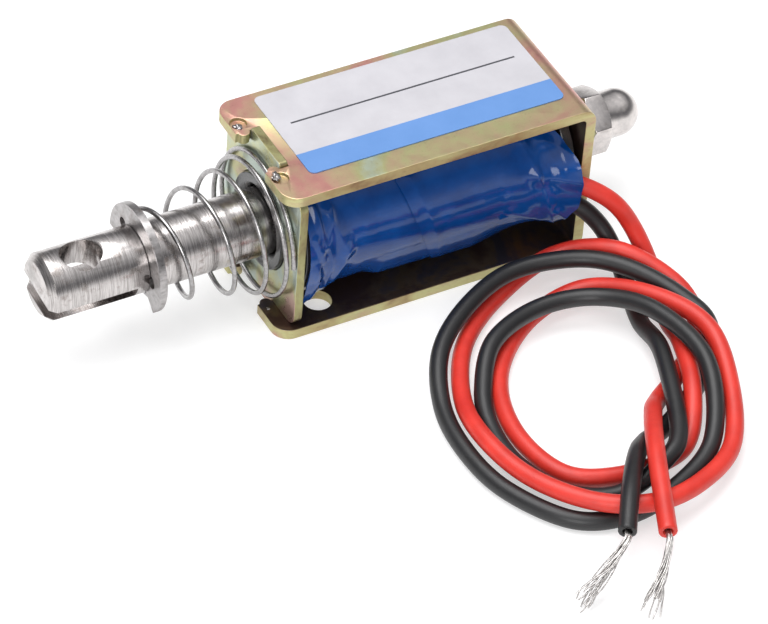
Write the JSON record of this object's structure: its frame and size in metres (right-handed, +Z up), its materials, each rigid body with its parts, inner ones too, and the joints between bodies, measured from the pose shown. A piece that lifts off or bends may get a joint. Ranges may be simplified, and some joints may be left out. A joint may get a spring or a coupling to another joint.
{
  "type": "push pull solenoid",
  "caption": "Small open-frame solenoid: a slotted steel plunger with a conical return spring pulls in while a rod with a cap nut pushes out at the back.",
  "frame": {"origin": "centre of the frame's flat bottom face, on which the solenoid is screwed down", "axes": "+X along the plunger's axis from the slotted tip to the cap nut, which is the way the plunger moves when it is pulled in; +Z up through the label; +Y across, away from the side where the leads come out"},
  "size_m": [0.0585, 0.0568, 0.0163],
  "materials": {
    "zinc_strip": "yellow iridescent zinc plating",
    "zinc_plate": "pale iridescent zinc plating",
    "black_plastic": "moulded, slightly glossy",
    "copper": "enamelled copper wire, wound",
    "blue_tape": "glossy film tape with folds",
    "label_film": "printed film, satin",
    "core_steel": "turned",
    "turned_steel": "turned, fine marks, browner towards the frame",
    "rod_steel": "drawn rod, threaded end",
    "nickel": "polished nickel",
    "soft_washer": "matt",
    "spring_steel": "grey spring steel",
    "solder": "soldered, uneven",
    "red_insulation": "soft, satin",
    "black_insulation": "soft, satin",
    "tinned_copper": "fine tinned strands"
  },
  "bodies": {
    "frame": {"frame_strip": "zinc_strip", "front_plate": "zinc_plate", "bobbin": "black_plastic", "winding": "copper", "coil_tails": "copper", "tape_wrap": "blue_tape", "label": "label_film", "fixed_core": "core_steel", "splice_red": "solder", "splice_black": "solder", "splice_patch": "blue_tape", "lead_red": "red_insulation", "lead_black": "black_insulation", "strands_red": "tinned_copper", "strands_black": "tinned_copper"},
    "clip": {"e_clip": "spring_steel", "return_spring": "spring_steel"},
    "plunger": {"plunger": "turned_steel", "push_rod": "rod_steel", "cap_nut": "nickel", "stop_washer": "soft_washer"}
  },
  "joints": [
    {"name": "plunger_slide", "type": "slide", "parent": "frame", "child": "clip", "axis": [1, 0, 0], "range_m": [0, 0.01], "stiffness_N_per_m": 60, "springref_m": -0.004, "deforming": ["return_spring"]},
    {"name": "plunger_spin", "type": "hinge", "parent": "clip", "child": "plunger", "pos_m": [-0.0253, 0, 0.008], "axis": [1, 0, 0], "continuous": true}
  ]
}
